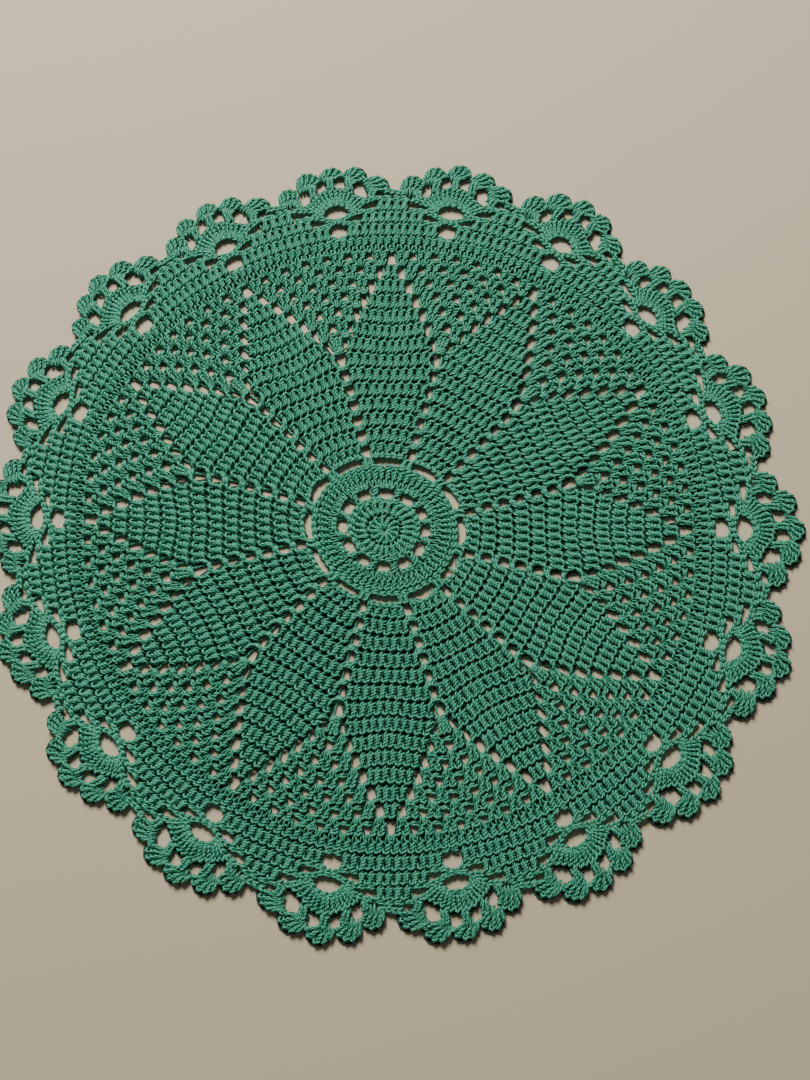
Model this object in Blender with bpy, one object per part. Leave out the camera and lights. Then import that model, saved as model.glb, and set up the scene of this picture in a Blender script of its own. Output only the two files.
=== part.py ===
"""Crocheted lace doily: one flat round sheet of cotton crochet with a scalloped edge.

Metres, +Z up. The origin is the middle of the underside, at the centre of the first round.
Angles are in degrees, clockwise from +Y as seen from above, the way the rounds run.
The sheet has the outline and the largest gaps of the lace. Its smaller gaps are filled.
"""
import math
from collections import namedtuple

import bmesh
import bpy

MM = 0.001

# The cloth
THICKNESS = 2.4 * MM

# The 18 scallops of the edge. The work is uneven, so each has its own direction, its own
# distance from the centre to the round eyelet below it, and its own reach to its tip.
Scallop = namedtuple("Scallop", "angle_deg eyelet_mm tip_mm")
SCALLOPS = [
    Scallop(12.3, 146.0, 181.0),
    Scallop(31.7, 149.5, 186.0),
    Scallop(50.4, 148.0, 182.5),
    Scallop(70.3, 147.5, 183.0),
    Scallop(90.4, 148.0, 185.0),
    Scallop(110.2, 149.0, 184.5),
    Scallop(130.3, 146.5, 181.5),
    Scallop(149.9, 145.0, 179.0),
    Scallop(169.6, 144.0, 177.0),
    Scallop(189.6, 143.5, 177.0),
    Scallop(211.1, 141.0, 174.0),
    Scallop(231.8, 139.5, 173.5),
    Scallop(252.4, 140.5, 173.0),
    Scallop(273.0, 142.5, 176.0),
    Scallop(292.9, 146.5, 179.5),
    Scallop(312.6, 145.5, 179.0),
    Scallop(332.5, 144.5, 178.0),
    Scallop(352.5, 145.0, 178.5),
]

# The five shells along a scallop: how far each stands clockwise of the scallop's middle, as
# a share of the way to the next scallop, and how much of the scallop's height it reaches.
Shell = namedtuple("Shell", "share height")
SHELLS = [
    Shell(-0.315, 0.74),
    Shell(-0.150, 0.90),
    Shell(0.045, 1.00),
    Shell(0.230, 0.92),
    Shell(0.400, 0.72),
]
SHELL_RADIUS = 3.9 * MM
SHELL_ARC_DEG = (-75.0, -35.0, 10.0, 55.0)
NOTCH_DEPTH = 2.6 * MM
VALLEY_HEIGHT = 0.53
VALLEY_SHARE = 0.5

# Gaps of each scallop
EYELET_RADIUS = 3.75 * MM
EYELET_SIDES = 12
FAN_GAP_HEIGHT = 0.265
FAN_GAP_WIDTH = 10.0 * MM
FAN_GAP_DEPTH = 5.2 * MM
FAN_GAP_SIDES = 10
RIM_GAP_SHARE = 0.275
RIM_GAP_HEIGHT = 0.555
RIM_GAP_WIDTH = 5.4 * MM
RIM_GAP_DEPTH = 6.4 * MM
RIM_GAP_SIDES = 8

# The 12 petals: the direction of the long slit at each one's foot, the slit's distance from
# the centre, and the distance of the gap of the centre ring that lies in line with it.
Petal = namedtuple("Petal", "angle_deg slit_mm ring_mm")
PETALS = [
    Petal(3.5, 31.5, 16.2),
    Petal(35.5, 32.0, 16.7),
    Petal(64.0, 33.0, 17.8),
    Petal(91.0, 34.0, 17.4),
    Petal(121.0, 33.5, 16.7),
    Petal(151.0, 32.5, 16.5),
    Petal(182.0, 31.0, 15.8),
    Petal(213.0, 30.5, 15.7),
    Petal(244.5, 31.5, 16.4),
    Petal(275.5, 33.5, 18.4),
    Petal(304.5, 34.5, 18.8),
    Petal(333.5, 33.0, 17.8),
]
SLIT_WIDTH = 11.5 * MM
SLIT_DEPTH = 1.9 * MM
SLIT_SIDES = 8
RING_GAP_WIDTH = 5.0 * MM
RING_GAP_DEPTH = 3.6 * MM
RING_GAP_SIDES = 8

COTTON_GREEN = (0.045, 0.27, 0.175, 1.0)


def polar(angle_deg, radius):
    """The point at a clockwise angle from +Y and a distance from the centre."""
    angle = math.radians(angle_deg)
    return radius * math.sin(angle), radius * math.cos(angle)


def offset(point, angle_deg, across, outward):
    """A point moved clockwise and outward, as those run at angle_deg."""
    angle = math.radians(angle_deg)
    x = point[0] + across * math.cos(angle) + outward * math.sin(angle)
    y = point[1] - across * math.sin(angle) + outward * math.cos(angle)
    return x, y


def oval(angle_deg, radius, width, depth, sides):
    """A ring of points: width runs round the doily and depth outward."""
    middle = polar(angle_deg, radius)
    ring = []
    for i in range(sides):
        turn = 2.0 * math.pi * (i + 0.5) / sides
        ring.append(offset(middle, angle_deg, width / 2 * math.cos(turn), depth / 2 * math.sin(turn)))
    return ring


def scallop_spacing(i):
    """Degrees from scallop i to the next one clockwise."""
    ahead = SCALLOPS[(i + 1) % len(SCALLOPS)].angle_deg
    return (ahead - SCALLOPS[i].angle_deg) % 360.0


def scallop_radius(i, height):
    """Distance from the centre at a share of scallop i's height above its eyelet."""
    row = SCALLOPS[i]
    return (row.eyelet_mm + height * (row.tip_mm - row.eyelet_mm)) * MM


def shell_arc(i, shell):
    """The outer points of one shell, clockwise."""
    angle = SCALLOPS[i].angle_deg + shell.share * scallop_spacing(i)
    middle = polar(angle, scallop_radius(i, shell.height) - SHELL_RADIUS)
    points = []
    for turn_deg in SHELL_ARC_DEG:
        turn = math.radians(turn_deg)
        across = SHELL_RADIUS * math.sin(turn)
        points.append(offset(middle, angle, across, SHELL_RADIUS * math.cos(turn)))
    return points


def notch(i, shell, next_shell):
    """The bottom of the notch between two shells."""
    share = (shell.share + next_shell.share) / 2
    height = min(shell.height, next_shell.height)
    angle = SCALLOPS[i].angle_deg + share * scallop_spacing(i)
    return polar(angle, scallop_radius(i, height) - NOTCH_DEPTH)


def valley(i):
    """The point where scallop i meets the next one."""
    j = (i + 1) % len(SCALLOPS)
    radius = (scallop_radius(i, VALLEY_HEIGHT) + scallop_radius(j, VALLEY_HEIGHT)) / 2
    return polar(SCALLOPS[i].angle_deg + VALLEY_SHARE * scallop_spacing(i), radius)


def outline():
    points = []
    for i in range(len(SCALLOPS)):
        for shell, next_shell in zip(SHELLS, SHELLS[1:]):
            points += shell_arc(i, shell)
            points.append(notch(i, shell, next_shell))
        points += shell_arc(i, SHELLS[-1])
        points.append(valley(i))
    return points


def scallop_gaps(i):
    """The round eyelet, the fan's oval gap and the largest gap below the shells."""
    row = SCALLOPS[i]
    across = 2 * EYELET_RADIUS
    rim_angle = row.angle_deg + RIM_GAP_SHARE * scallop_spacing(i)
    return [
        oval(row.angle_deg, row.eyelet_mm * MM, across, across, EYELET_SIDES),
        oval(row.angle_deg, scallop_radius(i, FAN_GAP_HEIGHT), FAN_GAP_WIDTH, FAN_GAP_DEPTH, FAN_GAP_SIDES),
        oval(rim_angle, scallop_radius(i, RIM_GAP_HEIGHT), RIM_GAP_WIDTH, RIM_GAP_DEPTH, RIM_GAP_SIDES),
    ]


def petal_gaps(row):
    """The long slit at a petal's foot and the gap of the centre ring."""
    return [
        oval(row.angle_deg, row.slit_mm * MM, SLIT_WIDTH, SLIT_DEPTH, SLIT_SIDES),
        oval(row.angle_deg, row.ring_mm * MM, RING_GAP_WIDTH, RING_GAP_DEPTH, RING_GAP_SIDES),
    ]


def all_gaps():
    gaps = []
    for i in range(len(SCALLOPS)):
        gaps += scallop_gaps(i)
    for row in PETALS:
        gaps += petal_gaps(row)
    return gaps


def add_loop(mesh, points):
    """A closed ring of edges at the underside."""
    verts = [mesh.verts.new((x, y, 0.0)) for x, y in points]
    return [mesh.edges.new((verts[k - 1], verts[k])) for k in range(len(verts))]


def sheet_mesh():
    """The outline filled around its gaps, then raised to the cloth's thickness."""
    mesh = bmesh.new()
    edges = add_loop(mesh, outline())
    for gap in all_gaps():
        edges += add_loop(mesh, gap)
    bmesh.ops.triangle_fill(mesh, use_beauty=True, edges=edges)
    bottom = list(mesh.faces)
    raised = bmesh.ops.extrude_face_region(mesh, geom=bottom, use_keep_orig=True)
    top = [item for item in raised["geom"] if isinstance(item, bmesh.types.BMVert)]
    bmesh.ops.translate(mesh, verts=top, vec=(0.0, 0.0, THICKNESS))
    bmesh.ops.recalc_face_normals(mesh, faces=mesh.faces)
    data = bpy.data.meshes.new("doily")
    mesh.to_mesh(data)
    mesh.free()
    return data


def cotton():
    material = bpy.data.materials.new("green cotton")
    material.use_nodes = True
    shader = material.node_tree.nodes["Principled BSDF"]
    shader.inputs["Base Color"].default_value = COTTON_GREEN
    shader.inputs["Roughness"].default_value = 0.85
    shader.inputs["Metallic"].default_value = 0.0
    return material


def clear_scene():
    for old in list(bpy.data.objects):
        bpy.data.objects.remove(old, do_unlink=True)


def main():
    clear_scene()
    doily = bpy.data.objects.new("doily", sheet_mesh())
    doily.data.materials.append(cotton())
    bpy.context.scene.collection.objects.link(doily)


main()
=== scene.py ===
"""The crocheted lace doily as it looks: each stitch is modelled as the loops of one yarn.

Metres in Blender, +Z up, the origin in the middle of the underside. The pattern is laid out in
millimetres on an even plan, where every petal and every scallop is alike. A warp then moves each
point to its place on the uneven doily. Angles are in degrees, clockwise from +Y.
"""

import math
from collections import namedtuple

import bpy
import numpy as np
from mathutils import Matrix, Vector


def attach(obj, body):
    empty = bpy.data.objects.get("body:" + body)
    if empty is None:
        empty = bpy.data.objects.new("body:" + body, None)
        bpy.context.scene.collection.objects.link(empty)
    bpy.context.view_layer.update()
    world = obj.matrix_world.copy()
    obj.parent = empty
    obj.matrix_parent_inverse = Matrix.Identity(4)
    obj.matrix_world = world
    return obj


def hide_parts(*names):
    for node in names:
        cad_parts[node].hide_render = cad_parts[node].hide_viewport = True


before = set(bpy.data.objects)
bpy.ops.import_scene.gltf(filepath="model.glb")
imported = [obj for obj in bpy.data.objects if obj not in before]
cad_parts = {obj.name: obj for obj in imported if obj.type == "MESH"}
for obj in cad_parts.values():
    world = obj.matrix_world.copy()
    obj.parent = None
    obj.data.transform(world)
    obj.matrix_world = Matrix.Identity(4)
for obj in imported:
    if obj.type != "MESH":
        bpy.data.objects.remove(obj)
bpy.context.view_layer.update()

MM = 0.001
SEED = 7
random = np.random.default_rng(SEED)

# The yarn: its middle's height above the floor, and how far its loops go forward and back
YARN_RADIUS = 0.68
YARN_SIDES = 5
MIDDLE_HEIGHT = 1.45
LOOP_DEPTH = 0.78
# How unlike one another the stitches are: moved across, moved up, and deeper or flatter
STITCH_ACROSS = 0.045
STITCH_UP = 0.018
STITCH_DEPTH = 0.10
# The cell of a chain link, and the shares of it below and above the line the chain follows
LINK_HEIGHT = 7.3
LINK_STEP = 2.6
LINK_BELOW = 0.94
LINK_ABOVE = 0.06
# The ground sheet, coloured as painted shade: its height, its quads across and up a stitch, and the
# fewest stitches side by side that it runs under
GROUND_HEIGHT = 1.0
GROUND_STEPS = (1, 2)
GROUND_STITCHES = 2

# The uneven work. One row for each petal: the direction and distance of the gap of the centre
# ring and of the slit in line with it.
Petal = namedtuple("Petal", "ring_deg ring_mm slit_deg slit_mm")
PETALS = [
    Petal(5.1, 16.2, 3.5, 31.5),
    Petal(37.8, 16.7, 35.5, 32.0),
    Petal(67.6, 17.8, 64.0, 33.0),
    Petal(91.9, 17.4, 91.0, 34.0),
    Petal(121.4, 16.7, 121.0, 33.5),
    Petal(152.1, 16.5, 151.0, 32.5),
    Petal(183.8, 15.8, 182.0, 31.0),
    Petal(216.1, 15.7, 213.0, 30.5),
    Petal(248.1, 16.4, 244.5, 31.5),
    Petal(279.4, 18.4, 275.5, 33.5),
    Petal(306.2, 18.8, 304.5, 34.5),
    Petal(332.9, 17.8, 333.5, 33.0),
]
# One row for each column of gaps between two petals: its first gap, the gap where it splits,
# and how far out the ring of small gaps lies there.
Column = namedtuple("Column", "foot_deg foot_mm split_deg split_mm ring_mm")
COLUMNS = [
    Column(21.1, 36.5, 17.7, 83.1, 132.7),
    Column(50.8, 37.4, 46.7, 83.2, 133.7),
    Column(78.9, 38.7, 76.5, 84.4, 134.0),
    Column(107.9, 38.1, 105.4, 85.1, 134.0),
    Column(136.6, 38.3, 134.7, 84.1, 133.0),
    Column(165.2, 36.7, 164.7, 81.9, 129.8),
    Column(196.2, 34.8, 195.0, 80.9, 129.2),
    Column(230.8, 35.1, 226.6, 78.7, 126.0),
    Column(261.5, 36.7, 258.5, 81.8, 128.0),
    Column(291.4, 39.4, 288.0, 85.3, 132.2),
    Column(318.2, 38.7, 316.8, 84.8, 131.8),
    Column(348.2, 37.0, 347.2, 81.8, 130.5),
]
Scallop = namedtuple("Scallop", "angle_deg eyelet_mm tip_mm")
SCALLOPS = [
    Scallop(12.3, 146.0, 181.0),
    Scallop(31.7, 149.5, 186.0),
    Scallop(50.4, 148.0, 182.5),
    Scallop(70.3, 147.5, 183.0),
    Scallop(90.4, 148.0, 185.0),
    Scallop(110.2, 149.0, 184.5),
    Scallop(130.3, 146.5, 181.5),
    Scallop(149.9, 145.0, 179.0),
    Scallop(169.6, 144.0, 177.0),
    Scallop(189.6, 143.5, 177.0),
    Scallop(211.1, 141.0, 174.0),
    Scallop(231.8, 139.5, 173.5),
    Scallop(252.4, 140.5, 173.0),
    Scallop(273.0, 142.5, 176.0),
    Scallop(292.9, 146.5, 179.5),
    Scallop(312.6, 145.5, 179.0),
    Scallop(332.5, 144.5, 178.0),
    Scallop(352.5, 145.0, 178.5),
]

# The even plan
PETAL_COUNT = 12
PETAL_STEP = 30.0
PETAL_FIRST = 2.5
COLUMN_FIRST = 17.5
SCALLOP_COUNT = 18
SCALLOP_STEP = 20.0
SCALLOP_FIRST = 12.5
RING_GAP_MM = 17.0
SLIT_MM = 32.6
FOOT_GAP_MM = 37.4
SPLIT_GAP_MM = 82.9
RING_84_MM = 131.9
EYELET_MM = 145.0
TIP_MM = 179.0

# The rows of the petals and the mesh: each one's top edge and how far it swings out at the
# columns, the stitches of one petal, half the span of the mesh, and the gaps beside the petal
Row = namedtuple("Row", "top_mm swing_mm petal_stitches side_deg gap_mm")
ROWS = [
    Row(34.0, 0.0, 0, 0.0, 2.4),
    Row(41.3, 0.0, 5, 0.0, 2.9),
    Row(48.8, 0.0, 6, 0.0, 2.9),
    Row(56.1, 0.2, 7, 0.0, 2.9),
    Row(63.4, 0.4, 8, 0.0, 2.9),
    Row(70.55, 0.95, 9, 0.0, 2.9),
    Row(77.8, 1.5, 10, 0.0, 2.9),
    Row(85.1, 2.0, 11, 0.0, 3.6),
    Row(92.6, 2.45, 11, 3.0, 2.9),
    Row(100.15, 2.75, 10, 4.8, 2.9),
    Row(107.65, 2.95, 8, 6.9, 2.9),
    Row(115.1, 2.5, 6, 9.0, 2.9),
    Row(122.1, 1.8, 4, 11.0, 2.9),
    Row(128.7, 1.2, 2, 12.9, 2.9),
    Row(134.9, 0.5, 0, 15.0, 2.4),
]
FIRST_MESH_ROW = 8
LAST_MESH_ROW = 14
BAND_TOPS_MM = [134.9, 141.0, 147.4, 153.2, 159.4]

# The loops of a double crochet, as the yarn runs: across the stitch (-0.5 to 0.5), up it
# (0 to 1), in depth (-1 at the back to 1 at the front) and the yarn's thickness there. A leg
# comes first, then two slanted wraps and the two hooks that turn over the top.
DOUBLE_CROCHET = np.array([
    (-0.06, -0.05, -0.80, 0.75), (0.03, -0.03, 0.70, 0.70), (0.26, 0.17, 0.88, 0.88),
    (0.36, 0.40, 0.55, 0.88), (0.02, 0.30, -0.80, 0.80),
    (-0.60, 0.09, 0.30, 0.90), (-0.22, 0.17, 0.95, 0.96), (0.14, 0.28, 0.97, 0.96),
    (0.34, 0.35, 0.15, 0.88), (-0.54, 0.25, 0.15, 0.90), (-0.20, 0.34, 0.97, 1.00),
    (0.14, 0.45, 0.97, 1.00), (0.34, 0.51, 0.15, 0.90), (-0.52, 0.42, 0.10, 0.92),
    (-0.22, 0.52, 0.97, 1.05), (0.11, 0.65, 0.97, 1.05), (0.28, 0.69, -0.20, 0.85),
    (-0.50, 0.62, 0.25, 0.95), (-0.18, 0.76, 0.98, 1.12), (0.22, 0.88, 0.98, 1.12),
    (0.50, 0.80, 0.25, 0.92),
])
# The same worked round a chain: two thin legs spread from the chain, with one wrap above them
OPEN_DOUBLE_CROCHET = np.array([
    (-0.10, 0.06, -0.90, 0.65), (-0.12, -0.13, 0.00, 0.54), (-0.14, 0.05, 0.80, 0.56),
    (-0.27, 0.24, 0.90, 0.66), (-0.38, 0.34, 0.20, 0.78), (0.02, 0.36, -0.75, 0.80),
    (0.30, 0.26, 0.80, 0.66), (0.15, 0.05, 0.80, 0.56), (0.12, -0.13, 0.00, 0.54),
    (0.00, 0.10, -0.85, 0.70), (-0.55, 0.24, 0.30, 0.92), (-0.18, 0.36, 0.97, 1.00),
    (0.15, 0.49, 0.97, 1.00), (0.34, 0.57, 0.20, 0.92), (-0.54, 0.42, 0.10, 0.92),
    (-0.21, 0.53, 0.97, 1.05), (0.17, 0.68, 0.98, 1.05), (0.37, 0.72, -0.05, 0.85),
    (-0.50, 0.63, 0.25, 0.95), (-0.17, 0.77, 0.98, 1.10), (0.22, 0.89, 0.98, 1.10),
    (0.50, 0.80, 0.25, 0.92),
])
CHAIN_LINK = np.array([
    (-0.45, 1.05, 0.50, 1.05), (-0.10, 1.03, 0.90, 1.15), (0.25, 0.98, 0.80, 1.10),
    (0.42, 0.94, 0.40, 1.00), (0.25, 0.90, 0.80, 1.10), (-0.10, 0.86, 0.90, 1.15),
    (-0.45, 0.83, 0.50, 1.05), (-0.30, 0.86, -0.50, 0.85), (0.25, 1.00, -0.60, 0.85),
])
# How far the stitches lean to the right, when worked into stitches and when worked round a
# chain, about a point part of the way up. Below the leg's top, legs reach further down a chain.
LEAN = 0.4
OPEN_LEAN = 0.1
LEAN_CENTRE = 0.45
LEG_REACH = 0.5
LEG_TOP = 0.3


# ---------------------------------------------------------------- the even plan and the warp

def plane(angle_deg, radius):
    angle = np.radians(angle_deg)
    return np.stack([radius * np.sin(angle), radius * np.cos(angle)], -1)


def periodic(angle, even, values):
    """Values given at evenly spaced plan angles, read at any angle."""
    even = np.asarray(even, float)
    values = np.asarray(values, float)
    knots = np.concatenate([even[-1:] - 360.0, even, even[:1] + 360.0])
    ends = np.concatenate([values[-1:], values, values[:1]])
    return np.interp((angle - even[0]) % 360.0 + even[0], knots, ends)


def shift(actual, even):
    """How far each real direction lies clockwise of its plan direction."""
    return (np.asarray(actual) - np.asarray(even) + 180.0) % 360.0 - 180.0


PETAL_DEG = [PETAL_FIRST + PETAL_STEP * i for i in range(PETAL_COUNT)]
COLUMN_DEG = [COLUMN_FIRST + PETAL_STEP * i for i in range(PETAL_COUNT)]
SCALLOP_DEG = [SCALLOP_FIRST + SCALLOP_STEP * i for i in range(SCALLOP_COUNT)]

# For each plan radius: the plan directions, the shifts and the real radii there
WARP = [
    (0.0, PETAL_DEG, shift([p.ring_deg for p in PETALS], PETAL_DEG), [0.0] * PETAL_COUNT),
    (RING_GAP_MM, PETAL_DEG, shift([p.ring_deg for p in PETALS], PETAL_DEG),
     [p.ring_mm for p in PETALS]),
    (SLIT_MM, PETAL_DEG, shift([p.slit_deg for p in PETALS], PETAL_DEG),
     [p.slit_mm for p in PETALS]),
    (FOOT_GAP_MM, COLUMN_DEG, shift([c.foot_deg for c in COLUMNS], COLUMN_DEG),
     [c.foot_mm for c in COLUMNS]),
    (SPLIT_GAP_MM, COLUMN_DEG, shift([c.split_deg for c in COLUMNS], COLUMN_DEG),
     [c.split_mm for c in COLUMNS]),
    (RING_84_MM, COLUMN_DEG, shift([c.split_deg for c in COLUMNS], COLUMN_DEG),
     [c.ring_mm for c in COLUMNS]),
    (EYELET_MM, SCALLOP_DEG, shift([s.angle_deg for s in SCALLOPS], SCALLOP_DEG),
     [s.eyelet_mm for s in SCALLOPS]),
    (TIP_MM, SCALLOP_DEG, shift([s.angle_deg for s in SCALLOPS], SCALLOP_DEG),
     [s.tip_mm for s in SCALLOPS]),
]


def warp(points):
    """Plan points (x, y) in millimetres moved to their real places."""
    radius = np.hypot(points[:, 0], points[:, 1])
    angle = np.degrees(np.arctan2(points[:, 0], points[:, 1]))
    knots = np.array([row[0] for row in WARP])
    shifts = np.stack([periodic(angle, row[1], row[2]) for row in WARP])
    radii = np.stack([periodic(angle, row[1], row[3]) for row in WARP])
    k = np.clip(np.searchsorted(knots, radius) - 1, 0, len(knots) - 2)
    t = (radius - knots[k]) / (knots[k + 1] - knots[k])
    n = np.arange(len(radius))
    new_shift = shifts[k, n] * (1 - t) + shifts[k + 1, n] * t
    new_radius = radii[k, n] * (1 - t) + radii[k + 1, n] * t
    return plane(angle + new_shift, new_radius)


def row_top(row, angle_deg):
    swing = np.cos(np.radians(PETAL_COUNT * (np.asarray(angle_deg, float) - COLUMN_FIRST)))
    return row.top_mm + row.swing_mm * swing


def mesh_gaps(n):
    """The directions of the mesh's gaps in row n, from the middle of their column."""
    side = ROWS[n].side_deg
    return np.linspace(-side, side, n - FIRST_MESH_ROW + 2)


# ---------------------------------------------------------------- holes

# Half the width and half the height of each kind of hole, to the middle of the yarn round it
FOOT_HOLE = (2.15, 2.6)
COLUMN_HOLE = (2.65, 2.6)
SPLIT_HOLE = (3.9, 3.8)
LEFT_MESH_HOLE = (2.5, 2.3)
RIGHT_MESH_HOLE = (2.35, 2.2)
MESH_HOLE = (1.9, 1.75)
RING_84_HOLE = (1.75, 1.65)
CENTRE_RING_HOLE = (2.75, 2.5)
SLIT_HOLE = (5.35, 1.9)
# How far each slit is open, petal by petal, and how much further out that moves its middle
SLIT_RISE = 0.4
SLIT_SHARES = [0.75, 1.0, 1.0, 1.0, 1.3, 1.35, 0.85, 0.6, 0.75, 1.05, 1.35, 0.95]
CENTRE_HOLE_MM = 17.4
COLUMN_HOLES_MM = [45.2, 52.5, 59.7, 67.1, 74.6]
COLUMN_HOLE_ACROSS = -0.4
SPLIT_HOLE_SINK = 0.7
# How far up its row each kind of mesh hole sits
LEFT_MESH_SHARE = 0.42
RIGHT_MESH_SHARE = 0.45
MESH_SHARE = 0.50
# The holes of a scallop: middle across and outward, half width, half height and clockwise tilt
SCALLOP_HOLES = [
    (0.15, 144.8, 3.5, 3.4, 0.0),
    (0.25, 154.3, 5.2, 3.5, 0.0),
    (-9.0, 149.6, 3.2, 1.7, 0.0), (9.0, 150.0, 3.2, 1.5, 0.0),
    (-16.9, 154.8, 3.1, 1.4, 0.0), (15.8, 155.2, 3.7, 1.5, -8.0),
    (-20.2, 159.4, 3.2, 1.2, 0.0), (21.8, 159.7, 2.3, 1.1, 0.0),
    (-12.8, 164.3, 2.3, 2.2, 0.0), (-5.0, 169.1, 2.3, 2.0, 0.0),
    (3.6, 170.2, 2.5, 2.1, 0.0), (12.9, 165.3, 3.9, 2.3, 50.0),
]
# How unlike one another the holes are
HOLE_EVENNESS = 0.07
# How sharply the loops round a hole part, how many hole sizes away they still move, and how
# many points are moved at a time
PARTING = 6.0
PARTING_REACH = 4.0
PARTING_BATCH = 2000


def hole_table():
    """Every hole on the plan: direction, middle, half width and half height."""
    table = []

    def add(angle, radius, size, across=0.0, tilt=0.0):
        x, y = plane(angle, radius)
        turn = math.radians(angle)
        table.append((angle + tilt, x + across * math.cos(turn), y - across * math.sin(turn),
                      size[0] * random.normal(1.0, HOLE_EVENNESS),
                      size[1] * random.normal(1.0, HOLE_EVENNESS)))

    for petal, share in zip(PETAL_DEG, SLIT_SHARES):
        add(petal, CENTRE_HOLE_MM, CENTRE_RING_HOLE)
        add(petal, SLIT_MM + SLIT_RISE * share, (SLIT_HOLE[0], SLIT_HOLE[1] * share))
    for column in COLUMN_DEG:
        add(column, FOOT_GAP_MM, FOOT_HOLE)
        for radius in COLUMN_HOLES_MM:
            add(column, radius, COLUMN_HOLE, COLUMN_HOLE_ACROSS)
        add(column, SPLIT_GAP_MM - SPLIT_HOLE_SINK, SPLIT_HOLE)
        for n in range(FIRST_MESH_ROW, LAST_MESH_ROW):
            gaps = mesh_gaps(n)
            for k, gap in enumerate(gaps):
                angle = column + gap
                size, share = MESH_HOLE, MESH_SHARE
                if k == 0:
                    size, share = LEFT_MESH_HOLE, LEFT_MESH_SHARE
                elif k == len(gaps) - 1:
                    size, share = RIGHT_MESH_HOLE, RIGHT_MESH_SHARE
                base, top = row_top(ROWS[n - 1], angle), row_top(ROWS[n], angle)
                add(angle, base + share * (top - base), size)
        for gap in mesh_gaps(LAST_MESH_ROW)[:-1]:
            add(column + gap, RING_84_MM, RING_84_HOLE)
    for scallop in SCALLOP_DEG:
        for across, outward, half_width, half_height, tilt in SCALLOP_HOLES:
            add(scallop, outward, (half_width, half_height), across, tilt)
    return np.array(table)


def open_holes(points):
    """Plan points moved out of the holes, the way the loops beside a hole part round it."""
    turn = np.radians(HOLES[:, 0])
    centre = HOLES[:, 1:3]
    moved = points.copy()
    for start in range(0, len(points), PARTING_BATCH):
        batch = slice(start, start + PARTING_BATCH)
        away = points[batch, None] - centre
        across = (away[..., 0] * np.cos(turn) - away[..., 1] * np.sin(turn)) / HOLES[:, 3]
        outward = (away[..., 0] * np.sin(turn) + away[..., 1] * np.cos(turn)) / HOLES[:, 4]
        distance = np.hypot(across, outward) + 1e-6
        near = distance < PARTING_REACH
        push = np.where(near, (distance ** PARTING + 1.0) ** (1.0 / PARTING) / distance - 1.0, 0.0)
        moved[batch] += (push[..., None] * away).sum(1)
    return moved


HOLES = hole_table()


# ---------------------------------------------------------------- cells: where each stitch goes

def strip(base, top):
    """Cells between two rows of points, each cell (base left, base right, top left, top right)."""
    return np.stack([base[:-1], base[1:], top[:-1], top[1:]], 1)


def polar_strip(count, base_span, top_span, base_radius, top_radius):
    """count cells over a span of degrees. The radii are functions of the angle."""
    base_deg = np.linspace(*base_span, count + 1)
    top_deg = np.linspace(*top_span, count + 1)
    return strip(plane(base_deg, base_radius(base_deg)), plane(top_deg, top_radius(top_deg)))


def flat(radius):
    """A radius that is the same at every angle."""
    return lambda angle: np.full_like(np.asarray(angle, float), radius)


def degrees_of(length, radius):
    """The angle that a length along a circle takes up."""
    return math.degrees(length / radius)


def chain_along(points, reach):
    """Chain cells of a given height along a line of plan points."""
    points = np.asarray(points, float)
    lengths = np.concatenate([[0.0], np.cumsum(np.linalg.norm(np.diff(points, axis=0), axis=1))])
    count = max(2, int(round(lengths[-1] / LINK_STEP)))
    at = np.linspace(0.0, lengths[-1], count + 1)
    line = np.stack([np.interp(at, lengths, points[:, i]) for i in range(2)], -1)
    along = np.gradient(line, axis=0)
    along /= np.linalg.norm(along, axis=1)[:, None]
    normal = np.stack([-along[:, 1], along[:, 0]], -1)
    return strip(line - LINK_BELOW * reach * normal, line + LINK_ABOVE * reach * normal)


def smooth_line(points, count):
    """A Catmull-Rom curve through the points."""
    points = np.asarray(points, float)
    padded = np.vstack([2 * points[0] - points[1], points, 2 * points[-1] - points[-2]])
    t = np.linspace(0.0, len(points) - 1, count)
    i = np.minimum(t.astype(int), len(points) - 2)
    f = (t - i)[:, None]
    p0, p1, p2, p3 = padded[i], padded[i + 1], padded[i + 2], padded[i + 3]
    return 0.5 * (2 * p1 + (p2 - p0) * f + (2 * p0 - 5 * p1 + 4 * p2 - p3) * f ** 2
                  + (3 * p1 - p0 - 3 * p2 + p3) * f ** 3)


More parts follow.
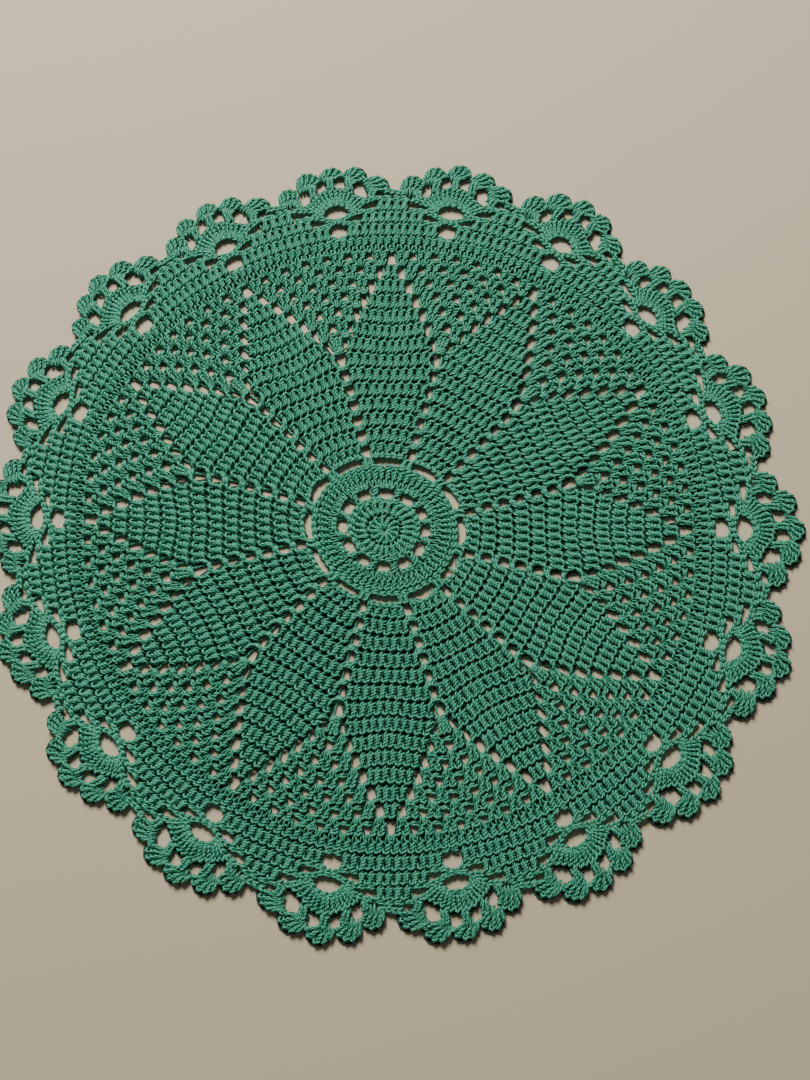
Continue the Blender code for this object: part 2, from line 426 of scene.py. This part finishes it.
class Yarn:
    """One yarn's path, stitch by stitch, and the cells that it fills."""

    def __init__(self):
        self.points = []
        self.ground = []

    def work(self, loops, cells):
        """The yarn taken through the same loops in each cell, never quite alike."""
        u, v, depth, thickness = loops.T
        u = u + 0.5
        for cell in cells:
            base_left, base_right, top_left, top_right = cell
            du = random.normal(0.0, STITCH_ACROSS)
            dv = random.normal(0.0, STITCH_UP)
            uu = (u + du)[:, None]
            vv = (v + dv)[:, None]
            base = base_left + uu * (base_right - base_left)
            top = top_left + uu * (top_right - top_left)
            xy = base + vv * (top - base)
            radius = YARN_RADIUS * thickness
            z = MIDDLE_HEIGHT + LOOP_DEPTH * depth * random.normal(1.0, STITCH_DEPTH)
            self.points.append(np.column_stack([xy, np.maximum(z, radius), radius]))

    def stitches(self, cells, over_chain=False):
        """Double crochets, worked into the stitches below or round a chain."""
        loops = (OPEN_DOUBLE_CROCHET if over_chain else DOUBLE_CROCHET).copy()
        loops[:, 0] += (OPEN_LEAN if over_chain else LEAN) * (loops[:, 1] - LEAN_CENTRE)
        if over_chain:
            loops[:, 1] -= LEG_REACH * np.maximum(LEG_TOP - loops[:, 1], 0.0)
        self.work(loops, cells)
        if len(cells) >= GROUND_STITCHES:
            self.ground.append(cells)

    def chain(self, cells, sink=0.0, slim=0.0):
        """Chain links, sunk into the cloth by a share of the loops' depth, or slimmer."""
        self.work(CHAIN_LINK - (0.0, 0.0, sink, slim), cells)

    def braid(self, count, span, radius, sink=0.0, slim=0.0):
        """Chain links seen from the front, along a radius given as a function of the angle."""
        self.chain(polar_strip(count, span, span, lambda a: radius(a) - LINK_BELOW * LINK_HEIGHT,
                               lambda a: radius(a) + LINK_ABOVE * LINK_HEIGHT), sink, slim)

    def path(self):
        """The line through the middle of the yarn, and its radius along the line."""
        points = np.vstack(self.points)
        xy = warp(open_holes(points[:, :2]))
        return np.column_stack([xy, points[:, 2]]), points[:, 3]


# ---------------------------------------------------------------- the pattern

ROUND = (0, 360)
# The two solid rounds in the middle: stitches, inner and outer radius
Round = namedtuple("Round", "stitches base_mm top_mm")
SOLID_ROUNDS = [Round(12, 1.2, 7.4), Round(24, 7.4, 14.0)]
CENTRE_BRAID_LINKS = 30
CENTRE_BRAID_MM = 14.2
# The bars between the holes of the ring, and the chains over the holes
RING_BAR_MM = 4.2
RING_BAR_RADII = (14.4, 21.4)
RING_CHAIN_RADII = (14.0, 21.2)
RING_CHAIN_LINKS = 3
# The solid round past the ring, and its braid
WIDE_ROUND = Round(60, 21.4, 29.2)
WIDE_BRAID_MM = 29.9
# The bars between the slits, and the chains over the slits
SLIT_BAR_MM = 4.8
SLIT_BAR_AT_MM = 32.0
SLIT_BAR_RADII = (30.6, 35.4)
SLIT_CHAIN_MM = 35.0
SLIT_CHAIN_LINKS = 5


def centre():
    """Two solid rounds, the ring of holes, a solid round with its braid and the slits' bars."""
    yarns = []
    for row in SOLID_ROUNDS:
        yarn = Yarn()
        yarn.stitches(polar_strip(row.stitches, ROUND, ROUND, flat(row.base_mm), flat(row.top_mm)))
        yarns.append(yarn)
    yarn = Yarn()
    yarn.braid(CENTRE_BRAID_LINKS, ROUND, flat(CENTRE_BRAID_MM))
    yarns.append(yarn)
    yarn = Yarn()
    half = degrees_of(RING_BAR_MM, CENTRE_HOLE_MM) / 2
    for column in COLUMN_DEG:
        span = (column - half, column + half)
        base, top = map(flat, RING_BAR_RADII)
        yarn.stitches(polar_strip(1, span, span, base, top), over_chain=True)
        gap = (column + half, column + PETAL_STEP - half)
        base, top = map(flat, RING_CHAIN_RADII)
        yarn.chain(polar_strip(RING_CHAIN_LINKS, gap, gap, base, top))
    yarns.append(yarn)
    yarn = Yarn()
    base, top = flat(WIDE_ROUND.base_mm), flat(WIDE_ROUND.top_mm)
    yarn.stitches(polar_strip(WIDE_ROUND.stitches, ROUND, ROUND, base, top), over_chain=True)
    yarns.append(yarn)
    yarn = Yarn()
    yarn.braid(WIDE_ROUND.stitches, ROUND, flat(WIDE_BRAID_MM))
    yarns.append(yarn)
    yarn = Yarn()
    half = degrees_of(SLIT_BAR_MM, SLIT_BAR_AT_MM) / 2
    for column in COLUMN_DEG:
        span = (column - half, column + half)
        yarn.stitches(polar_strip(2, span, span, *map(flat, SLIT_BAR_RADII)))
        gap = (column + half, column + PETAL_STEP - half)
        yarn.braid(SLIT_CHAIN_LINKS, gap, flat(SLIT_CHAIN_MM))
    yarns.append(yarn)
    return yarns


# The first row starts on the slits' chains, and is narrower at its foot than the others
ARC_WIDTH = 1.3
FIRST_BASE_GAP = 2.2
BASE_GAP = 0.3
# The chain between two petals is two braids side by side: outward of the row's top, and sink
BAR_OVERLAP_DEG = 0.5
BAR_BRAIDS = [(-0.4, 0.3), (0.7, 0.1)]


def petal_row(n):
    """Row n up to the split: solid petals with one chain at each column."""
    row, below = ROWS[n], ROWS[n - 1]
    yarn = Yarn()
    top_half = PETAL_STEP / 2 - degrees_of(row.gap_mm, row.top_mm) / 2
    first = n == 1
    base_gap = FIRST_BASE_GAP if first else BASE_GAP
    base_half = PETAL_STEP / 2 - degrees_of(base_gap, below.top_mm) / 2
    for petal in PETAL_DEG:
        cells = polar_strip(
            row.petal_stitches,
            (petal - base_half, petal + base_half),
            (petal - top_half, petal + top_half),
            lambda a: row_top(below, a) + (ARC_WIDTH if first else 0.0),
            lambda a: row_top(row, a))
        yarn.stitches(cells, over_chain=first)
        gap = (petal + top_half, petal + PETAL_STEP - top_half)
        wide = (gap[0] - BAR_OVERLAP_DEG, gap[1] + BAR_OVERLAP_DEG)
        for outward, sink in BAR_BRAIDS:
            yarn.braid(1, wide, lambda a: row_top(row, a) + outward, sink)
    return yarn


def block_half(n):
    """Half the width, in degrees, of the petal's solid block in row n."""
    row = ROWS[n]
    return PETAL_STEP / 2 - row.side_deg - degrees_of(row.gap_mm, row.top_mm) / 2


# The width of a mesh group's foot, stitches in a group, and the gap between two groups' heads.
# The first mesh row has groups of its own, and its petals step in at their foot.
MESH_FOOT = 4.7
FIRST_FOOT = 3.2
MESH_GROUP = 2
FIRST_GROUP = 3
FIRST_STEP_DEG = 1.0
MESH_GAP = 1.1
MESH_CHAIN_SINK = 1.1
# The braids at the bottom of the mesh's inner holes
MESH_BRAID_HALF = 2.2
MESH_BRAID_OUTWARD = 1.1
MESH_BRAID_SINK = 0.9
MESH_BRAID_SLIM = 0.1


def mesh_row(n):
    """Row n past the split: narrowing petals, and groups of stitches between gaps."""
    row, below = ROWS[n], ROWS[n - 1]
    yarn = Yarn()
    gaps = mesh_gaps(n)
    side_gap = degrees_of(row.gap_mm, row.top_mm) / 2
    inner_gap = degrees_of(MESH_GAP, row.top_mm) / 2
    half_gaps = [side_gap] + [inner_gap] * (len(gaps) - 2) + [side_gap]
    first = n == FIRST_MESH_ROW
    half_foot = degrees_of(FIRST_FOOT if first else MESH_FOOT, below.top_mm) / 2
    group = FIRST_GROUP if first else MESH_GROUP

    def base(a):
        return row_top(below, a)

    def top(a):
        return row_top(row, a)

    for column in COLUMN_DEG:
        for i, foot in enumerate(mesh_gaps(n - 1)):
            gap = (column + gaps[i] - half_gaps[i], column + gaps[i] + half_gaps[i])
            yarn.chain(polar_strip(1, gap, gap, base, top), sink=MESH_CHAIN_SINK)
            foot_span = (column + foot - half_foot, column + foot + half_foot)
            top_span = (column + gaps[i] + half_gaps[i], column + gaps[i + 1] - half_gaps[i + 1])
            yarn.stitches(polar_strip(group, foot_span, top_span, base, top), over_chain=True)
        if not row.petal_stitches:
            continue
        gap = (column + gaps[-1] - side_gap, column + gaps[-1] + side_gap)
        yarn.chain(polar_strip(1, gap, gap, base, top))
        petal = column + PETAL_STEP / 2
        top_half = block_half(n)
        base_half = block_half(n - 1) * min(1.0, row.petal_stitches / below.petal_stitches)
        base_half -= FIRST_STEP_DEG if first else 0.0
        yarn.stitches(polar_strip(
            row.petal_stitches,
            (petal - base_half, petal + base_half), (petal - top_half, petal + top_half),
            base, top))
    return yarn


def mesh_braids(n):
    """The tops of row n - 1 that show at the bottom of row n's inner holes."""
    below = ROWS[n - 1]
    half = degrees_of(MESH_BRAID_HALF, below.top_mm)
    yarns = []
    for column in COLUMN_DEG:
        yarn = Yarn()
        for gap in mesh_gaps(n)[1:-1]:
            span = (column + gap - half, column + gap + half)
            yarn.braid(1, span, lambda a: row_top(below, a) + MESH_BRAID_OUTWARD,
                       MESH_BRAID_SINK, MESH_BRAID_SLIM)
        yarns.append(yarn)
    return yarns


def at_scallop(i, points):
    """Points (across, outward) of scallop i's own upright frame, on the plan."""
    points = np.asarray(points, float)
    angle = math.radians(SCALLOP_FIRST + SCALLOP_STEP * i)
    x = points[..., 0] * math.cos(angle) + points[..., 1] * math.sin(angle)
    y = -points[..., 0] * math.sin(angle) + points[..., 1] * math.cos(angle)
    return np.stack([x, y], -1)


# Chains of the three rows that step back from each scallop, left to right
CHAIN_OVER_EYELET = [(-4.3, 147.6), (-2.6, 148.8), (0.0, 149.2), (2.8, 148.8), (4.6, 147.6)]
CHAIN_OVER_BAR = [(-12.3, 152.9), (-8.8, 152.6), (-5.8, 151.6), (-3.6, 150.8), (0.0, 150.5),
                  (3.8, 150.8), (6.4, 151.8), (9.4, 152.7), (12.3, 152.9)]
CHAIN_OVER_FAN = [(-19.8, 157.9), (-16.5, 157.5), (-13.0, 156.9), (-9.6, 155.6), (-6.6, 153.4),
                  (-5.7, 155.2), (-3.4, 157.2), (0.2, 158.1), (3.9, 157.2), (6.2, 155.2),
                  (7.0, 153.6), (9.9, 155.0), (13.4, 156.9), (16.8, 157.8), (19.8, 158.0)]
BAND_CHAINS = [None, CHAIN_OVER_EYELET, CHAIN_OVER_BAR, CHAIN_OVER_FAN]
CHAIN_POINTS = 40
# Stitches of each row between two scallops, and none past the last row
BAND_STITCHES = [14, 12, 8, 4, 0]
BAND_ROWS = 4
BAND_LINKS_PER_STITCH = 1.25
BAND_BRAID_OUTWARD = 0.5
BAND_BRAID_SINK = 0.3
# The cell height of the chains that cross the openwork, which makes them thicker
ROPE_REACH = 9.5


def band_half(k):
    """Half the width, in degrees, of row k's block between two scallops."""
    return SCALLOP_STEP / 2 * BAND_STITCHES[k] / BAND_STITCHES[0]


def between_scallops(i):
    """The plan direction halfway from the scallop before i to scallop i."""
    return SCALLOP_FIRST + SCALLOP_STEP * (i - 0.5)


def band_braids(k):
    """The tops of row k of the band that show beside and between the scallops."""
    outer, inner = band_half(k), band_half(k + 1)
    stitches = (BAND_STITCHES[k] - BAND_STITCHES[k + 1]) / 2
    count = int(round(stitches * BAND_LINKS_PER_STITCH))
    yarns = []
    for i in range(SCALLOP_COUNT):
        middle = between_scallops(i)
        for span in ((middle - outer, middle - inner), (middle + inner, middle + outer)):
            yarn = Yarn()
            yarn.braid(count, span, flat(BAND_TOPS_MM[k + 1] + BAND_BRAID_OUTWARD), BAND_BRAID_SINK)
            yarns.append(yarn)
    return yarns


def band_row(k):
    """Row k of the band: whole at first, then in blocks that step back from the scallops."""
    yarn = Yarn()
    base, top = flat(BAND_TOPS_MM[k]), flat(BAND_TOPS_MM[k + 1])
    half = band_half(k)
    for i in range(SCALLOP_COUNT):
        middle = between_scallops(i)
        span = (middle - half, middle + half)
        yarn.stitches(polar_strip(BAND_STITCHES[k], span, span, base, top), over_chain=k == 0)
        if BAND_CHAINS[k]:
            line = smooth_line(at_scallop(i, BAND_CHAINS[k]), CHAIN_POINTS)
            yarn.chain(chain_along(line, ROPE_REACH))
    return yarn


FAN_STITCHES = 14
# The arch that the fan is worked on: the middle of its foot, half its width, and its rise
FAN_FOOT = (0.3, 153.2)
FAN_HALF_WIDTH = 6.3
FAN_RISE = 4.9
# The fan's outer edge, left to right
FAN_EDGE = [(-15.6, 159.2), (-12.4, 161.2), (-9.0, 163.8), (-4.7, 166.9), (0.3, 168.0),
            (5.0, 167.0), (8.4, 164.8), (12.8, 161.2), (17.4, 159.2)]


def fan(i):
    """The fan over scallop i's oval gap."""
    t = np.linspace(0.0, 1.0, FAN_STITCHES + 1)
    inner = np.stack([FAN_FOOT[0] - FAN_HALF_WIDTH * np.cos(np.pi * t),
                      FAN_FOOT[1] + FAN_RISE * np.sin(np.pi * t)], -1)
    outer = smooth_line(FAN_EDGE, FAN_STITCHES + 1)
    yarn = Yarn()
    yarn.stitches(strip(at_scallop(i, inner), at_scallop(i, outer)))
    return yarn


# The shells: the bar that each is worked on, left to right, and the centre, radius and sweep
# (clockwise from outward) of its round top
Shell = namedtuple("Shell", "bar_start bar_end centre radius first_deg last_deg")
RIM_SHELLS = [
    Shell((-24.5, 161.2), (-16.0, 161.8), (-19.7, 165.3), 5.2, -105.0, 92.0),
    Shell((-15.6, 167.4), (-7.6, 169.6), (-10.6, 171.4), 5.5, -100.0, 95.0),
    Shell((-5.6, 172.0), (3.4, 171.6), (0.9, 173.6), 5.8, -88.0, 100.0),
    Shell((6.0, 172.6), (10.6, 167.2), (12.4, 171.3), 5.8, -62.0, 118.0),
    Shell((15.2, 168.8), (19.0, 162.0), (22.0, 164.8), 5.6, -50.0, 130.0),
]
SHELL_STITCHES = 5
# How unlike one another the shells are: turned, shifted and larger or smaller
SHELL_TURN_DEG = 5.0
SHELL_WANDER = 0.35
SHELL_EVENNESS = 0.04
# The posts that join the fan to the shells: foot and head
Post = namedtuple("Post", "foot head")
POSTS = [
    Post((-15.6, 158.2), (-17.4, 162.4)),
    Post((-9.4, 162.8), (-8.6, 170.2)),
    Post((-0.4, 166.4), (0.0, 173.0)),
    Post((8.4, 164.2), (7.8, 171.2)),
    Post((17.6, 158.6), (19.0, 163.4)),
]
POST_WIDTH = 3.6
POST_STITCHES = 2
# The chain across the valley from one scallop's last shell to the next one's first
VALLEY_POINTS = 20
VALLEY = [(24.6, 161.4), (27.0, 161.0), (29.0, 160.4)]
VALLEY_AFTER = [(-27.2, 160.4), (-25.0, 160.6), (-22.0, 160.9)]


def shells(i):
    """The five shells along scallop i's rim."""
    yarns = []
    for shell in RIM_SHELLS:
        t = np.linspace(0.0, 1.0, SHELL_STITCHES + 1)[:, None]
        bar = np.array(shell.bar_start) + t * (np.array(shell.bar_end) - np.array(shell.bar_start))
        sweep = np.linspace(shell.first_deg, shell.last_deg, SHELL_STITCHES + 1)
        sweep = sweep + random.normal(0.0, SHELL_TURN_DEG)
        centre_mm = np.array(shell.centre) + random.normal(0.0, SHELL_WANDER, 2)
        tops = centre_mm + plane(sweep, shell.radius * random.normal(1.0, SHELL_EVENNESS))
        yarn = Yarn()
        yarn.stitches(strip(at_scallop(i, bar), at_scallop(i, tops)), over_chain=True)
        yarns.append(yarn)
    return yarns


def posts(i):
    """Scallop i's posts, and the chain across the valley after it."""
    yarns = []
    for post in POSTS:
        foot, head = np.array(post.foot), np.array(post.head)
        along = (head - foot) / np.linalg.norm(head - foot)
        side = np.array([along[1], -along[0]]) * POST_WIDTH / 2
        share = np.linspace(-1.0, 1.0, POST_STITCHES + 1)[:, None]
        yarn = Yarn()
        yarn.stitches(strip(at_scallop(i, foot + share * side), at_scallop(i, head + share * side)))
        yarns.append(yarn)
    yarn = Yarn()
    line = np.vstack([at_scallop(i, VALLEY), at_scallop(i + 1, VALLEY_AFTER)])
    yarn.chain(chain_along(smooth_line(line, VALLEY_POINTS), ROPE_REACH))
    yarns.append(yarn)
    return yarns


# ---------------------------------------------------------------- meshes

def tube_frames(points):
    """A direction along the yarn and one square to it, carried along without twisting."""
    tangents = np.gradient(points, axis=0)
    tangents /= np.linalg.norm(tangents, axis=1)[:, None] + 1e-12
    normal = Vector((0.0, 0.0, 1.0)).cross(Vector(tangents[0]))
    if normal.length < 1e-3:
        normal = Vector((1.0, 0.0, 0.0))
    normal.normalize()
    normals = np.empty_like(points)
    for k, tangent in enumerate(tangents):
        tangent = Vector(tangent)
        normal = normal - tangent * normal.dot(tangent)
        normal.normalize()
        normals[k] = normal
    return tangents, normals


def tube(points, radii):
    """Vertices, quads, the caps at both ends and the uv of each quad's corners for one yarn."""
    tangents, normals = tube_frames(points)
    binormals = np.cross(tangents, normals)
    turn = 2 * np.pi * np.arange(YARN_SIDES) / YARN_SIDES
    ring = (np.cos(turn)[None, :, None] * normals[:, None, :]
            + np.sin(turn)[None, :, None] * binormals[:, None, :])
    vertices = (points[:, None, :] + radii[:, None, None] * ring).reshape(-1, 3)
    last = len(points) - 1
    i, j = np.meshgrid(np.arange(last), np.arange(YARN_SIDES), indexing="ij")
    i, j = i.ravel(), j.ravel()
    k = (j + 1) % YARN_SIDES
    quads = np.stack([i * YARN_SIDES + j, i * YARN_SIDES + k,
                      (i + 1) * YARN_SIDES + k, (i + 1) * YARN_SIDES + j], -1)
    length = np.concatenate([[0.0], np.cumsum(np.linalg.norm(np.diff(points, axis=0), axis=1))])
    around = np.stack([j, j + 1, j + 1, j], -1) / YARN_SIDES
    along = np.stack([length[i], length[i], length[i + 1], length[i + 1]], -1)
    uv = np.stack([around, along], -1)
    first = np.arange(YARN_SIDES)[::-1]
    caps = np.stack([first, last * YARN_SIDES + np.arange(YARN_SIDES)])
    return vertices, quads, caps, uv


def face_mesh(name, vertices, quads, caps=None, uv=None):
    """A mesh of quads and, for yarn, of the caps that close its ends."""
    corners = np.asarray(quads, np.int32).ravel()
    starts = np.arange(0, 4 * len(quads), 4)
    if caps is not None:
        cap_starts = len(corners) + YARN_SIDES * np.arange(len(caps))
        starts = np.concatenate([starts, cap_starts])
        corners = np.concatenate([corners, np.asarray(caps, np.int32).ravel()])
    mesh = bpy.data.meshes.new(name)
    mesh.vertices.add(len(vertices))
    mesh.vertices.foreach_set("co", np.asarray(vertices, np.float32).ravel())
    mesh.loops.add(len(corners))
    mesh.loops.foreach_set("vertex_index", corners)
    mesh.polygons.add(len(starts))
    mesh.polygons.foreach_set("loop_start", starts.astype(np.int32))
    if uv is not None:
        quad_uv = uv.reshape(-1, 2)
        cap_uv = np.zeros((len(corners) - len(quad_uv), 2))
        layer = mesh.uv_layers.new(name="yarn")
        layer.data.foreach_set("uv", np.vstack([quad_uv, cap_uv]).astype(np.float32).ravel())
    mesh.update(calc_edges=True)
    mesh.validate()
    return mesh


def add_piece(name, mesh, material):
    mesh.materials.append(material)
    piece = bpy.data.objects.new(name, mesh)
    bpy.context.scene.collection.objects.link(piece)
    return piece


def yarn_piece(name, yarns, material):
    """One piece made of several closed yarns."""
    vertices, quads, caps, uvs = [], [], [], []
    start = 0
    for yarn in yarns:
        v, q, c, uv = tube(*yarn.path())
        vertices.append(v)
        quads.append(q + start)
        caps.append(c + start)
        uvs.append(uv)
        start += len(v)
    mesh = face_mesh(name, np.vstack(vertices) * MM, np.vstack(quads), np.vstack(caps),
                     np.vstack(uvs))
    mesh.shade_smooth()
    return add_piece(name, mesh, material)


def ground_piece(yarns, material):
    """The sheet inside the yarn, which closes the spaces between stitches side by side, coloured as
    painted shade.
    """
    across, up = GROUND_STEPS
    u, v = np.meshgrid(np.linspace(0.0, 1.0, across + 1), np.linspace(0.0, 1.0, up + 1))
    u, v = u.ravel()[:, None], v.ravel()[:, None]
    corner = np.arange((across + 1) * up).reshape(up, across + 1)[:, :-1].ravel()
    pattern = np.stack([corner, corner + 1, corner + across + 2, corner + across + 1], -1)
    cells = np.vstack([cells for yarn in yarns for cells in yarn.ground])
    base = cells[:, None, 0] * (1 - u) + cells[:, None, 1] * u
    top = cells[:, None, 2] * (1 - u) + cells[:, None, 3] * u
    xy = warp(open_holes((base * (1 - v) + top * v).reshape(-1, 2)))
    vertices = np.column_stack([xy, np.full(len(xy), GROUND_HEIGHT)])
    quads = (pattern + np.arange(len(cells))[:, None, None] * len(u)).reshape(-1, 4)
    return add_piece("doily_shade_ground", face_mesh("doily_shade_ground", vertices * MM, quads), material)


# ---------------------------------------------------------------- materials

# The yarn's plies: how many there are and how often they turn round it, for each millimetre
PLIES = 3.0
PLY_TURNS = 0.55
PLY_BUMP = 0.6
PLY_HEIGHT = 0.2 * MM
COTTON_ROUGHNESS = 0.55
COTTON_SHEEN = 0.06
COTTON_SHEEN_ROUGHNESS = 0.5
# Painted shade: the cotton darkens from its colour at the crests of the plies to shade in the
# grooves between them
COTTON_GROOVE_SHADE = (0.003, 0.090, 0.048, 1.0)
COTTON_CREST = (0.055, 0.450, 0.275, 1.0)
# The ground: the deep shade inside the yarn, painted into its colour
GROUND_SHADE_DARK = (0.001, 0.030, 0.016, 1.0)
GROUND_SHADE_PALE = (0.003, 0.060, 0.033, 1.0)
GROUND_ROUGHNESS = 0.9
GROUND_GRAIN = 900.0
FLOOR_COLOUR = (0.525, 0.45, 0.318, 1.0)
FLOOR_ROUGHNESS = 0.85
# The sockets of Blender's colour mix, which share their names with those of its other mixes
MIX_FACTOR = 0
MIX_FIRST = 6
MIX_SECOND = 7
MIX_RESULT = 2


def new_material(name):
    """A material, its nodes and links, and its shader."""
    material = bpy.data.materials.new(name)
    material.use_nodes = True
    nodes = material.node_tree.nodes
    return material, nodes, material.node_tree.links, nodes["Principled BSDF"]


def math_node(nodes, operation, value=None):
    """A maths node, with a constant second input where one is given."""
    node = nodes.new("ShaderNodeMath")
    node.operation = operation
    if value is not None:
        node.inputs[1].default_value = value
    return node


def colour_mix(nodes, first, second):
    """A mix from one colour to another."""
    node = nodes.new("ShaderNodeMix")
    node.data_type = "RGBA"
    node.inputs[MIX_FIRST].default_value = first
    node.inputs[MIX_SECOND].default_value = second
    return node


def yarn_material():
    """Green cotton whose plies wind round the yarn, by the uv that runs round and along it.
    The grooves between the plies are darkened with painted shade.
    """
    material, nodes, links, shader = new_material("green crochet cotton")
    shader.inputs["Roughness"].default_value = COTTON_ROUGHNESS
    shader.inputs["Sheen Weight"].default_value = COTTON_SHEEN
    shader.inputs["Sheen Roughness"].default_value = COTTON_SHEEN_ROUGHNESS
    uv = nodes.new("ShaderNodeUVMap")
    uv.uv_map = "yarn"
    split = nodes.new("ShaderNodeSeparateXYZ")
    links.new(uv.outputs["UV"], split.inputs[0])
    around = math_node(nodes, "MULTIPLY", PLIES)
    links.new(split.outputs["X"], around.inputs[0])
    along = math_node(nodes, "MULTIPLY_ADD", PLY_TURNS)
    links.new(split.outputs["Y"], along.inputs[0])
    links.new(around.outputs[0], along.inputs[2])
    turns = math_node(nodes, "MULTIPLY", 2 * math.pi)
    links.new(along.outputs[0], turns.inputs[0])
    ply = math_node(nodes, "SINE")
    links.new(turns.outputs[0], ply.inputs[0])
    height = nodes.new("ShaderNodeMapRange")
    height.inputs["From Min"].default_value = -1.0
    height.inputs["From Max"].default_value = 1.0
    links.new(ply.outputs[0], height.inputs["Value"])
    # Painted shade in the grooves between the plies, driven by the same ply height as the bump
    colour = colour_mix(nodes, COTTON_GROOVE_SHADE, COTTON_CREST)
    links.new(height.outputs[0], colour.inputs[MIX_FACTOR])
    links.new(colour.outputs[MIX_RESULT], shader.inputs["Base Color"])
    bump = nodes.new("ShaderNodeBump")
    bump.inputs["Strength"].default_value = PLY_BUMP
    bump.inputs["Distance"].default_value = PLY_HEIGHT
    links.new(height.outputs[0], bump.inputs["Height"])
    links.new(bump.outputs[0], shader.inputs["Normal"])
    return material


def painted_shade_ground_material():
    """Painted shade: the same cotton darkened as if in deep shade, a little uneven."""
    material, nodes, links, shader = new_material("painted shade inside the cotton")
    shader.inputs["Roughness"].default_value = GROUND_ROUGHNESS
    noise = nodes.new("ShaderNodeTexNoise")
    noise.inputs["Scale"].default_value = GROUND_GRAIN
    colour = colour_mix(nodes, GROUND_SHADE_DARK, GROUND_SHADE_PALE)
    links.new(noise.outputs["Fac"], colour.inputs[MIX_FACTOR])
    links.new(colour.outputs[MIX_RESULT], shader.inputs["Base Color"])
    return material


def floor_material():
    material, _, _, shader = new_material("pale floor")
    shader.inputs["Base Color"].default_value = FLOOR_COLOUR
    shader.inputs["Roughness"].default_value = FLOOR_ROUGHNESS
    return material


# ---------------------------------------------------------------- the scene

FLOOR_HALF = 1.5


def floor():
    half = FLOOR_HALF
    corners = [(-half, -half, 0.0), (half, -half, 0.0), (half, half, 0.0), (-half, half, 0.0)]
    mesh = bpy.data.meshes.new("floor")
    mesh.from_pydata(corners, [], [(0, 1, 2, 3)])
    obj = add_piece("floor", mesh, floor_material())


# The camera: degrees from straight down, the side it leans to, and its turn about its own axis.
# It aims at the top of the yarn, near the middle of the doily.
CAMERA_TILT = 15.12
CAMERA_AZIMUTH = 265.3
CAMERA_ROLL = 1.19
CAMERA_TARGET = (0.0089, -0.0044, 0.0017)
CAMERA_DISTANCE = 0.6547
CAMERA_LENS = 50.0
CAMERA_SENSOR = 36.0


def camera():
    tilt, azimuth = math.radians(CAMERA_TILT), math.radians(CAMERA_AZIMUTH)
    roll = math.radians(CAMERA_ROLL)
    back = Vector((math.sin(tilt) * math.cos(azimuth), math.sin(tilt) * math.sin(azimuth),
                   math.cos(tilt)))
    up = Vector((0.0, 1.0, 0.0))
    up = (up - back * up.dot(back)).normalized()
    right = up.cross(back)
    up = math.cos(roll) * up + math.sin(roll) * right
    right = up.cross(back)
    place = Matrix((right, up, back)).transposed().to_4x4()
    place.translation = Vector(CAMERA_TARGET) + back * CAMERA_DISTANCE
    data = bpy.data.cameras.new("camera")
    data.lens = CAMERA_LENS
    data.sensor_width = CAMERA_SENSOR
    obj = bpy.data.objects.new("camera", data)
    obj.matrix_world = place
    bpy.context.scene.collection.objects.link(obj)
    bpy.context.scene.camera = obj


# The key light, a soft disk aimed at the middle of the doily, and the studio round it
KEY_PLACE = (-0.35, 1.1, 1.1)
KEY_SIZE = 0.7
KEY_POWER = 45.0
KEY_COLOUR = (1.0, 0.97, 0.91)
STUDIO_COLOUR = (0.95, 0.97, 1.0, 1.0)
STUDIO_STRENGTH = 0.10


def lights():
    data = bpy.data.lights.new("window", "AREA")
    data.shape = "DISK"
    data.size = KEY_SIZE
    data.energy = KEY_POWER
    data.color = KEY_COLOUR
    obj = bpy.data.objects.new("window", data)
    obj.location = KEY_PLACE
    obj.rotation_euler = (-Vector(KEY_PLACE)).to_track_quat("-Z", "Y").to_euler()
    bpy.context.scene.collection.objects.link(obj)
    world = bpy.data.worlds.new("studio")
    world.use_nodes = True
    background = world.node_tree.nodes["Background"]
    background.inputs["Color"].default_value = STUDIO_COLOUR
    background.inputs["Strength"].default_value = STUDIO_STRENGTH
    bpy.context.scene.world = world


def main():
    camera()
    lights()
    floor()
    cotton = yarn_material()
    groups = {
        "yarn_centre": centre(),
        "yarn_petals_inner": [petal_row(n) for n in range(1, 6)],
        "yarn_petals_outer": [petal_row(n) for n in (6, 7)] + [mesh_row(8)],
        "yarn_mesh_inner": [mesh_row(n) for n in (9, 10, 11)],
        "yarn_mesh_outer": [mesh_row(n) for n in (12, 13, 14)],
        "yarn_mesh_braids": [yarn for n in range(FIRST_MESH_ROW + 1, LAST_MESH_ROW + 1)
                             for yarn in mesh_braids(n)],
        "yarn_band_inner": [band_row(k) for k in (0, 1)],
        "yarn_band_outer": [band_row(k) for k in (2, 3)],
        "yarn_band_braids": [yarn for k in range(BAND_ROWS) for yarn in band_braids(k)],
        "yarn_fans": [fan(i) for i in range(SCALLOP_COUNT)],
        "yarn_shells": [yarn for i in range(SCALLOP_COUNT) for yarn in shells(i)],
        "yarn_posts": [yarn for i in range(SCALLOP_COUNT) for yarn in posts(i)],
    }
    pieces = [yarn_piece(name, yarns, cotton) for name, yarns in groups.items()]
    # The ground sheet of painted shade under the yarn
    ground = ground_piece([yarn for yarns in groups.values() for yarn in yarns], painted_shade_ground_material())
    for piece in pieces + [ground]:
        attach(piece, "root")
    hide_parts("doily")


main()
